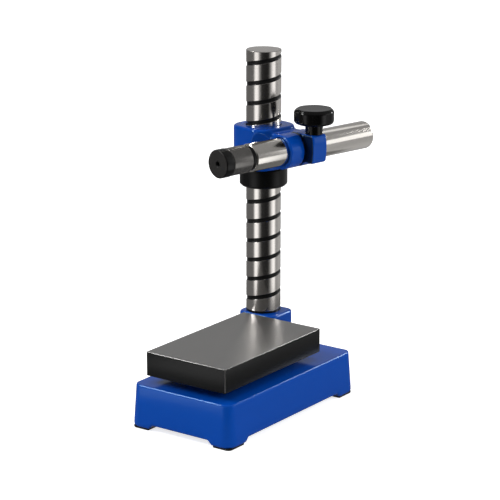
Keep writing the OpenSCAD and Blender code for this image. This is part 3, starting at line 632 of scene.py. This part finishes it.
column = {
    "radius": 17.5, "bottom": -0.5, "top": 267, "chamfer": 0.4, "lead": 20, "grooveZero": 0.4,
    "grooveHalf": 2.15, "grooveDepth": 0.8, "lip": 0.12, "turns": (-2, 16), "around": 120,
    "wallRows": [0.4, 0.75, 0.9, 0.97, 0.995, 1.0], "landFrom": 1.5, "landRows": 7,
}


def grooveDepth(offset):
    # a groove with a flat floor, rounded into its walls as (1 - t to the sixth) to the half,
    # and a small chamfer along each lip
    c = column
    t = np.abs(offset) / c["grooveHalf"]
    lip = c["lip"] * np.clip(1 - (np.abs(offset) - c["grooveHalf"]) / c["lip"], 0, 1)
    return np.where(t < 1, np.maximum(c["grooveDepth"] * (1 - np.clip(t, 0, 1) ** 6) ** 0.5, c["lip"]), lip)


def makeColumn():
    # unrolled along the helix: rows follow the groove, and its height rises by one lead in a turn;
    # above them one ring makes the chamfer at the top
    c = column
    half, lead, lip = c["grooveHalf"], c["lead"], c["lip"]
    walls = np.array(c["wallRows"])
    inner = np.concatenate([-walls[::-1], [0.0], walls]) * half
    edge = half + lip
    land = np.linspace(half + c["landFrom"], lead - half - c["landFrom"], c["landRows"])
    offsets = np.concatenate([[-edge - lip, -edge], inner, [edge, edge + lip], land])
    rows = (np.arange(*c["turns"])[:, None] * lead + offsets[None, :]).reshape(-1, 1)
    a = np.linspace(0, 2 * math.pi, c["around"] + 1)[None, :]
    helix = lead * a / (2 * math.pi)
    shoulder = c["top"] - c["chamfer"]
    z = np.clip(c["grooveZero"] + helix + rows, c["bottom"], shoulder)
    r = c["radius"] - grooveDepth((z - c["grooveZero"] - helix + lead / 2) % lead - lead / 2)
    keep = (z > c["bottom"]).any(1) & (z < shoulder).any(1)
    first, last = np.where(keep)[0][[0, -1]]
    z, r = z[max(first - 1, 0):last + 2], r[max(first - 1, 0):last + 2]
    z, r = np.vstack([z, np.full_like(z[-1:], c["top"])]), np.vstack([r, r[-1:] - c["chamfer"]])
    verts = aboutColumn(r * np.cos(a), r * np.sin(a), z).reshape(-1, 3)
    faces = [gridFaces(len(z), c["around"] + 1, closed=False)]
    for row, height in ((0, c["bottom"]), (len(z) - 1, c["top"])):
        middle = len(verts)
        verts = np.concatenate([verts, [[stand["columnX"], stand["columnY"], height]]])
        i = row * (c["around"] + 1) + np.arange(c["around"])
        fan = np.stack([i, i + 1, np.full_like(i, middle), np.full_like(i, middle)], -1)
        faces.append(fan if row else fan[:, [1, 0, 2, 3]])
    return welded(verts, np.concatenate(faces))


verts, faces = makeColumn()
cleanFaces("columnShaft", verts, faces, "stand", columnChrome, ("column",), sharp=38)
print("column:", len(faces), "faces")


# head casting

arm = {"offset": 38, "height": 172}
head = {
    "low": 150, "high": 192, "left": -24.5, "right": 26.5, "front": -27, "rear": 26, "cornerRadius": 16,
    "edgeRadius": 2.6, "ringRadius": 18, "ringFront": -14, "ringRear": 25, "flatTop": 188.5,
    "ringEdge": 1.6, "rearEdge": 1.2, "hubFillet": 3.5,
    "web": (19, 175), "webHalf": 19, "webRear": 20, "webEdge": 2, "webFillet": 3,
    "earReach": 27, "earFront": 6.5, "earLow": 160, "earEdge": 2.5, "earFrontEdge": 1.6, "earCrown": 1.5,
    "crownReach": 14, "earFillet": 1.5,
    "stud": (56, 15.75), "studRadius": 3.3, "cotterRadius": 5.55, "cotterTop": 170.6,
    "slot": (3.25, 6.75), "slotReach": 19.5, "slotMiddle": math.radians(52.5), "slotHalf": math.radians(97.5),
    "slotEdge": 0.5, "armBore": 14.05, "armFlare": 0.8, "columnBore": 17.55, "columnFlare": 1, "boreEdge": 0.3,
    "bossTurn": math.radians(135), "bossHeight": 167, "bossRadius": 9, "bossReach": 31, "bossEdge": 1.2,
    "bossFillet": 3, "bossBore": 4.05, "box": ((-31, -29.5, 148.5), (67, 33, 193.5)), "step": 0.62,
}


def flare(t, low, high, reach):
    # how much wider a bore is near its ends
    return np.maximum(0, reach - (t - low)) + np.maximum(0, reach - (high - t))


def headField(x, y, z):
    # the column's hub, the arm's ring and web and the crowned ear, joined by fillets, and the boss of the
    # rear clamp, less the saw cut, an arc about the arm's axis, the two flared bores and the small holes
    h = head
    cx, cy, cz = (h["left"] + h["right"]) / 2, (h["front"] + h["rear"]) / 2, (h["low"] + h["high"]) / 2
    halfX, halfY = (h["right"] - h["left"]) / 2, (h["rear"] - h["front"]) / 2
    plan = rectangle(x - cx, y - cy, halfX, halfY, h["cornerRadius"])
    hub = roundEdge(plan, np.abs(z - cz) - (h["high"] - h["low"]) / 2, h["edgeRadius"])
    u, w = x - arm["offset"], z - arm["height"]
    axial = np.hypot(u, w)
    webX, webZ = h["web"]
    web = roundEdge(np.abs(x - webX) - h["webHalf"], np.abs(z - webZ) - h["webHalf"], h["webEdge"])
    tops = join(axial - h["ringRadius"], np.maximum(web, y - h["webRear"]), h["webFillet"])
    crown = h["earCrown"] * ((z - (h["flatTop"] + h["earLow"]) / 2) / h["crownReach"]) ** 2
    ear = roundEdge(np.maximum(u - h["earReach"] + crown, -u), np.maximum(z - h["flatTop"], h["earLow"] - z),
                    h["earEdge"])
    ear = roundEdge(ear, h["earFront"] - y, h["earFrontEdge"])
    tops = roundEdge(tops, z - h["flatTop"], h["ringEdge"])
    tops = roundEdge(tops, h["ringFront"] - y, h["ringEdge"])
    tops = join(tops, ear, h["earFillet"])
    tops = roundEdge(tops, y - h["ringRear"], h["rearEdge"])
    solid = join(hub, np.maximum(tops, h["low"] - z), h["hubFillet"])
    c, s = math.cos(h["bossTurn"]), math.sin(h["bossTurn"])
    out, side = x * c + y * s, -x * s + y * c
    fromBoss = np.hypot(side, z - h["bossHeight"])
    boss = roundEdge(fromBoss - h["bossRadius"], out - h["bossReach"], h["bossEdge"])
    solid = join(solid, np.maximum(boss, -out), h["bossFillet"])
    turn = np.arctan2(-w, u) - h["slotMiddle"]
    turn = np.abs((turn + math.pi) % (2 * math.pi) - math.pi) - h["slotHalf"]
    slotY, slotWidth = sum(h["slot"]) / 2, h["slot"][1] - h["slot"][0]
    slot = np.maximum(np.abs(y - slotY) - slotWidth / 2, turn * axial)
    solid = without(solid, np.maximum(slot, axial - h["slotReach"]), h["slotEdge"])
    armFlare = flare(y, h["ringFront"], h["ringRear"], h["armFlare"])
    solid = without(solid, axial - h["armBore"] - armFlare, h["boreEdge"])
    columnFlare = flare(z, h["low"], h["high"], h["columnFlare"])
    solid = without(solid, np.hypot(x, y) - h["columnBore"] - columnFlare, h["boreEdge"])
    stud = np.hypot(x - h["stud"][0], y - h["stud"][1])
    solid = np.maximum(solid, -np.maximum(stud - h["cotterRadius"], z - h["cotterTop"]))
    solid = np.maximum(solid, -(stud - h["studRadius"]))
    return np.maximum(solid, -np.maximum(fromBoss - h["bossBore"], -out))


verts, faces = contour(headField, *head["box"], head["step"])
putMesh("headCasting", toPart(*verts.T), faces, "head", headEnamel, ("head_casting",))
print("head casting:", len(faces), "quads")


# arm, holder and cap: outlines from the axis outwards and back, as radius, place along the arm and rounding

armBar = {"around": 128, "outline": [
    (0, -43), (7, -43), (7.0, -54.6), (7.5, -55), (12.7, -55, 0.3), (14, -53.8, 0.3), (14, 104, 2.6), (0, 104)]}
gaugeHolder = {"around": 128, "outline": [
    (0, -82), (6, -82), (6, -84), (13.0, -84, 0.4), (13.7, -83.4, 0.3), (13.7, -60.0, 0.3), (13.2, -59.5, 0.3),
    (7.2, -59.5), (7.0, -59.3), (7.0, -34), (0, -34)]}
holderRing = {"around": 96, "outline": [
    (7.2, -59.4), (11.3, -59.4, 0.2), (11.3, -58.3, 0.1), (12.5, -58.3, 0.3), (12.5, -55.35, 0.3),
    (11.3, -55.35, 0.1), (11.3, -55.05), (7.2, -55.05)]}
endCap = {"around": 128, "outline": [
    (0, -90), (2.0, -90), (2.0, -93.2), (3.1, -94.4, 0.1), (13.3, -94.4, 0.3), (14.1, -93.5, 0.5),
    (14.1, -84.7, 0.3), (13.8, -84.4, 0.1), (6, -84.4), (6, -82), (0, -82)]}


def alongArm(x, y, h):
    # across the arm in x and up in y, h towards the arm's rear end
    return toPart(arm["offset"] + x, h + 0 * x, arm["height"] - y)


def armPiece(name, sizes, body, finish, node):
    turnedPiece(name, sizes["outline"], alongArm, body, finish, (node,), sizes["around"])


armPiece("armBar", armBar, "arm", armChrome, "arm")
armPiece("gaugeHolder", gaugeHolder, "holder", darkSteel, "gauge_holder")
armPiece("holderRing", holderRing, "holder", blackOxide, "holder_ring")
armPiece("endCap", endCap, "cap", capBlack, "end_cap")
print("arm, holder and cap made")


# height nut

nut = {"radius": 24, "low": 130, "high": 148.5, "bore": 17.55, "chamfer": 2.2, "boreEdge": 0.4, "footEdge": 0.5,
       "rimEdge": 0.6, "around": 128}


def nutOutline():
    # from the bore outwards under the foot, up the side, and back down the bore
    n = nut
    r, low, high, cut = n["radius"], n["low"], n["high"], n["chamfer"]
    start = (n["bore"], low + 1)
    return [start, (n["bore"], low, n["boreEdge"]), (r - cut, low, n["footEdge"]), (r, low + cut, n["rimEdge"]),
            (r, high, n["rimEdge"]), (n["bore"], high, n["boreEdge"]), start]


turnedPiece("heightNut", nutOutline(), aboutColumn, "nut", blackOxide, ("height_nut",),
            nut["around"])


# knobs

knob = {  # what both knobs share
    "neck": 8.75, "edge": 2.6, "lobes": 7, "cove": 1.2, "socket": 0.2, "dish": 0.15, "dishFrom": 0.45,
    "footEdge": 0.4, "footIn": 0.8, "footUp": 0.9, "footRounding": 2.5, "faceRounding": 1.6,
    "lobeFrom": 0.62, "lobeOver": 0.34, "lobePower": 1.4, "rowStep": 1.5, "around": 168,
}
armKnob = {"radius": 20, "neckHeight": 10.5, "height": 15, "dip": 0.6, "bore": 3}
columnKnob = {"radius": 15, "neckHeight": 8, "height": 12, "dip": 0.5, "bore": 4, "standOff": 32.6}


def lobedKnob(name, place, body, replaced, sizes):
    # a turned outline whose radius dips between the lobes, by a power of half a cosine and one,
    # most at the rim and not at all on the neck
    r, foot, bore = sizes["radius"], sizes["neckHeight"], sizes["bore"]
    n, rim, top = knob["neck"], knob["edge"], foot + sizes["height"]
    outline = [(0, knob["socket"]), (bore, knob["socket"]), (bore, 0, 0.2), (n, 0, knob["footEdge"]),
               (n, foot - knob["cove"], knob["cove"]), (n + knob["cove"], foot, 0.3),
               (r - rim * knob["footIn"], foot, 1.5), (r, foot + rim * knob["footUp"], knob["footRounding"]),
               (r, top - rim, rim), (r - rim, top, knob["faceRounding"]),
               (r * knob["dishFrom"], top - knob["dish"]), (0, top - knob["dish"])]

    def wave(a, radius, height):
        share = softStep((radius / r - knob["lobeFrom"]) / knob["lobeOver"])
        return 1 - share * sizes["dip"] / r * (0.5 + 0.5 * np.cos(knob["lobes"] * a)) ** knob["lobePower"]

    profile = rounded(outline, steps=6)
    rows = []
    for p, q in zip(profile[:-1], profile[1:]):
        steps = max(1, int(np.linalg.norm(q - p) / knob["rowStep"]))
        rows.append(p + (q - p) * np.arange(steps)[:, None] / steps)
    profile = np.concatenate(rows + [profile[-1:]])
    verts, faces = welded(*turned(profile, place, knob["around"], wave))
    cleanFaces(name, verts, faces, body, knobBlack, replaced, sharp=40)


def onEar(x, y, h):
    return toPart(head["stud"][0] + x, head["stud"][1] + y, head["flatTop"] + h)


def behindHub(x, y, h):
    # outwards along the column clamp's axis, at the rear left of the hub
    c, s = math.cos(head["bossTurn"]), math.sin(head["bossTurn"])
    out = columnKnob["standOff"] + h
    return toPart(out * c - y * s, out * s + y * c, head["bossHeight"] - x)


lobedKnob("armClampKnob", onEar, "arm_knob", ("arm_clamp_knob",), armKnob)
lobedKnob("columnClampKnob", behindHub, "column_knob", ("column_clamp_knob",), columnKnob)
print("nut and knobs made")


# feet

feet = {"inset": 2.2, "halfWidth": 60.5, "front": -90, "rear": 123.5, "width": 22, "length": 26,
        "cornerRadius": 12, "innerCorner": 1, "edgeRadius": 0.7, "rim": 4}


def makeFeet():
    # each foot is an outline with one large corner, drawn in by the rounding as it nears the ground
    f = feet
    low, high = stand["ground"], stand["padBottom"]
    rim = rounded([(0, high), (0, low, f["edgeRadius"]), (f["rim"], low)], steps=4)
    inner = f["innerCorner"]
    parts, faceSets, count = [], [], 0
    for sx in (-1, 1):
        for ey, sy in ((f["front"], 1), (f["rear"], -1)):
            x0, x1 = sx * (f["halfWidth"] - f["inset"]), sx * (f["halfWidth"] - f["width"])
            y0, y1 = ey + sy * f["inset"], ey + sy * f["length"]
            centre = np.array([(x0 + x1) / 2, (y0 + y1) / 2])
            outline = rounded([(centre[0], y0), (x0, y0, f["cornerRadius"] - f["inset"]), (x0, y1, inner),
                               (x1, y1, inner), (x1, y0, inner), (centre[0], y0)], steps=10)[:-1]
            reach = np.abs(np.array([x1 - x0, y1 - y0])) / 2
            rings = [(outline - centre) * (1 - drawn / reach) for drawn, z in rim]
            rings = [0 * outline] + rings + [0 * outline]
            heights = [high] + [z for drawn, z in rim] + [low]
            quads = gridFaces(len(rings), len(outline))
            faceSets.append((quads if sx * sy > 0 else quads[:, ::-1]) + count)
            parts += [np.concatenate([centre + ring, np.full((len(ring), 1), z)], 1)
                      for ring, z in zip(rings, heights)]
            count += len(rings) * len(outline)
    return welded(np.concatenate(parts), np.concatenate(faceSets))


verts, faces = makeFeet()
cleanFaces("rubberFeet", verts, faces, "stand", footRubber, ("rubber_feet",), sharp=35)
print("feet made")


# CAD nodes that keep their shape

kept = {
    "plate_screws": zincSteel, "plate_washers": zincSteel, "column_bolt": zincSteel, "column_washer": zincSteel,
    "column_lock_screw": blackOxide, "nut_follower": blackOxide, "thrust_washer": blackOxide,
    "column_clamp_insert": bearingBrass, "column_clamp_stud": brightSteel, "column_clamp_pad": bearingBrass,
    "arm_clamp_insert": bearingBrass, "arm_clamp_stud": brightSteel, "arm_clamp_cotter": zincSteel,
    "arm_clamp_washer": zincSteel, "holder_lock_screw": blackOxide, "gauge_clamp_screw": brightSteel,
    "gauge_clamp_pad": bearingBrass,
}
for name, finish in kept.items():
    materials = nodes[name].data.materials
    for at in range(len(materials)):
        materials[at] = finish
    if not materials:
        materials.append(finish)
print("CAD nodes finished:", len(kept))


# floor, light and camera

studio = {
    "reach": 2.6, "around": 72, "up": 14, "topRow": 88,
    # compass degrees round the column and the shade seen there in reflections
    "cards": [(-180, 0.15), (-150, 0.16), (-126, 0.16), (-118, 0.5), (-114, 1.25), (-110, 1.45), (-94, 1.45),
              (-82, 0.35), (-68, 0.03), (-40, 0.015), (-22, 0.02), (-10, 0.30), (4, 1.2), (10, 1.45),
              (23, 1.45), (31, 0.45), (42, 0.4), (58, 0.5), (84, 0.5), (112, 0.3), (180, 0.15)],
    "wall": [(-180, 0.10), (-150, 0.03), (-124, 0.03), (-114, 0.28), (-92, 0.28), (-80, 0.08), (-66, 0.03),
             (-20, 0.03), (0, 0.26), (26, 0.26), (40, 0.22), (60, 0.2), (100, 0.28), (118, 0.38), (160, 0.38),
             (180, 0.10)],
    "sky": 0.30, "skyFrom": 0.34, "skyTo": 0.70, "underfoot": 0.17, "underfootRadius": 0.32,
    # soft boxes: compass and height in degrees of the middle, width and height in degrees, lean, brightness
    "boxes": [(-132, 31, 14, 32, -12, 20.0), (-151, 49, 18, 16, -30, 8.0), (41, 13, 26, 22, 0, 1.35),
              (62, 24, 12, 20, 10, 20.0), (99, 43, 26, 7, 0, 1.1)],
    "boxGrid": (7, 9), "boxGap": 0.1,
    "floorHalf": 6.0, "floorDrop": 0.02, "floorShade": 0.8, "floorGlow": 0.75, "roomLight": 0.38,
    # lamps: place, size and power
    "lamps": {"keyLeft": ((-1.35, -1.25, 1.55), 1.0, 34), "rightSoft": ((1.9, 0.7, 1.1), 1.0, 22),
              "topSoft": ((0.0, 0.3, 2.2), 1.2, 14)},
    "lampAim": (0, 0, 0.05),
    "eye": (1.1788, -1.6015, 0.6430), "aim": (0.01275, 0.00780, 0.09083), "sensor": 36, "lens": 154.8,
}


def cameraAndMirrors(tree):
    # 1 for rays from the camera, from glossy surfaces and through glass
    light = tree.nodes.new("ShaderNodeLightPath")
    seen = addMath(tree, "MAXIMUM", light.outputs["Is Camera Ray"], light.outputs["Is Glossy Ray"])
    return addMath(tree, "MAXIMUM", seen, light.outputs["Is Transmission Ray"])


def stagePiece(name, verts, faces):
    # a mesh that is not part of the object, and its material's nodes
    mesh = bpy.data.meshes.new(name)
    mesh.from_pydata(verts, [], faces)
    piece = bpy.data.objects.new(name, mesh)
    bpy.context.scene.collection.objects.link(piece)
    finish = bpy.data.materials.new(name)
    finish.use_nodes = True
    mesh.materials.append(finish)
    return piece, finish.node_tree


def makeFloor():
    # one pale square under the feet, which glows only where it is seen
    s, z = studio["floorHalf"], (stand["ground"] - studio["floorDrop"]) * mm
    tree = stagePiece("studioFloor", [(-s, -s, z), (s, -s, z), (s, s, z), (-s, s, z)], [(0, 1, 2, 3)])[1]
    setShader(tree, {
        "Base Color": grey(studio["floorShade"]), "Roughness": 0.9, "Specular IOR Level": 0.1,
        "Emission Color": grey(1),
        "Emission Strength": addMath(tree, "MULTIPLY", cameraAndMirrors(tree), studio["floorGlow"])})


def domePoint(compass, height, r):
    # a point of a dome about the column's foot, from its compass and its height in degrees
    a, e = np.radians(compass), np.radians(height)
    middle = np.array([stand["columnX"], stand["columnY"], stand["ground"] + 0.5]) * mm
    return middle + r * np.stack([np.cos(e) * np.cos(a), np.cos(e) * np.sin(a), np.sin(e) + 0 * a], -1)


def onlyReflected(piece):
    piece.visible_camera = piece.visible_diffuse = piece.visible_shadow = piece.visible_transmission = False


def glowOnly(tree, colour, strength):
    setShader(tree, {"Base Color": grey(0), "Specular IOR Level": 0, "Emission Color": colour,
                     "Emission Strength": strength})


def makeCards():
    # light and dark cards on the floor and round a dome above it, which only reflections show:
    # a ramp round the compass for each, blended into the sky by height
    s = studio
    around, up = s["around"], s["up"]
    compass = np.arange(around)[None, :] * 360 / around
    dome = domePoint(compass, np.linspace(0, s["topRow"], up)[:, None], s["reach"]).reshape(-1, 3)
    verts = np.concatenate([dome, domePoint(0.0, 0.0, 0.0)[None, :], domePoint(0.0, 90.0, s["reach"])[None, :]])
    i, last = np.arange(around), (up - 1) * around
    floorFan = np.stack([np.full(around, up * around), i, (i + 1) % around], -1).tolist()
    topFan = np.stack([np.full(around, up * around + 1), last + i, last + (i + 1) % around], -1).tolist()
    cards, tree = stagePiece("studioCards", verts.tolist(), gridFaces(up, around).tolist() + floorFan + topFan)
    onlyReflected(cards)
    dx, dy, z = fromColumn(tree)
    share = addMath(tree, "MULTIPLY_ADD", addMath(tree, "ARCTAN2", dy, dx), 1 / (2 * math.pi), 0.5)
    floorShade, wallShade = (addRamp(tree, share, [((d + 180) / 360, shade) for d, shade in s[ring]])
                             for ring in ("cards", "wall"))
    near = addMath(tree, "LESS_THAN", addMath(tree, "SQRT", squares(tree, dx, dy)), s["underfootRadius"])
    near = addMath(tree, "MULTIPLY", near, addMath(tree, "LESS_THAN", z, 0.0))
    rise = addMath(tree, "SUBTRACT", addMath(tree, "MULTIPLY", z, 1 / s["reach"]), s["skyFrom"])
    rise = addMath(tree, "MULTIPLY", rise, 1 / (s["skyTo"] - s["skyFrom"]))
    rise = addMath(tree, "MINIMUM", addMath(tree, "MAXIMUM", rise, 0.0), 1.0)
    above = addMath(tree, "GREATER_THAN", z, (stand["ground"] + 1) * mm)
    shade = addMix(tree, rise, addMix(tree, above, floorShade, wallShade), grey(s["sky"]))
    glowOnly(tree, addMix(tree, near, shade, grey(s["underfoot"])), 1)


def makeBoxes():
    # bright soft boxes in front of the dome, curved with it
    up, across = studio["boxGrid"]
    v, u = np.linspace(-0.5, 0.5, up)[:, None], np.linspace(-0.5, 0.5, across)[None, :]
    for at, (compass, height, width, tall, lean, glow) in enumerate(studio["boxes"]):
        e = height + v * tall
        a = compass + u * width + v * lean
        verts = domePoint(a + 0 * e, e + 0 * a, studio["reach"] - studio["boxGap"]).reshape(-1, 3)
        faces = gridFaces(up, across, closed=False)
        box, tree = stagePiece(f"softBox{at + 1}", verts.tolist(), faces.tolist())
        onlyReflected(box)
        glowOnly(tree, grey(1), glow)


def makeWorld():
    # white for the camera and for reflections, and a little less light than white
    world = bpy.data.worlds.new("studioRoom")
    bpy.context.scene.world = world
    world.use_nodes = True
    tree = world.node_tree
    room = tree.nodes["Background"]
    room.inputs["Color"].default_value = grey(1)
    light = studio["roomLight"]
    strength = addMath(tree, "MULTIPLY_ADD", cameraAndMirrors(tree), 1 - light, light)
    tree.links.new(strength, room.inputs["Strength"])


def placeAt(name, data, place, aim):
    # a lamp or camera at a place, looking at its aim
    thing = bpy.data.objects.new(name, data)
    thing.location = place
    thing.rotation_euler = (Vector(aim) - Vector(place)).to_track_quat("-Z", "Y").to_euler()
    bpy.context.scene.collection.objects.link(thing)
    return thing


def addLamp(name, place, size, power):
    lamp = bpy.data.lights.new(name, "AREA")
    lamp.shape = "RECTANGLE"
    lamp.size = lamp.size_y = size
    lamp.energy = power
    placeAt(name, lamp, place, studio["lampAim"]).visible_glossy = False  # the soft boxes do the shine


def addCamera():
    data = bpy.data.cameras.new("photoView")
    data.sensor_width = studio["sensor"]
    data.lens = studio["lens"]
    bpy.context.scene.camera = placeAt("photoView", data, studio["eye"], studio["aim"])


makeFloor()
makeCards()
makeBoxes()
makeWorld()
for name, values in studio["lamps"].items():
    addLamp(name, *values)
addCamera()
bpy.context.scene.view_settings.view_transform = "Standard"
print("studio made")
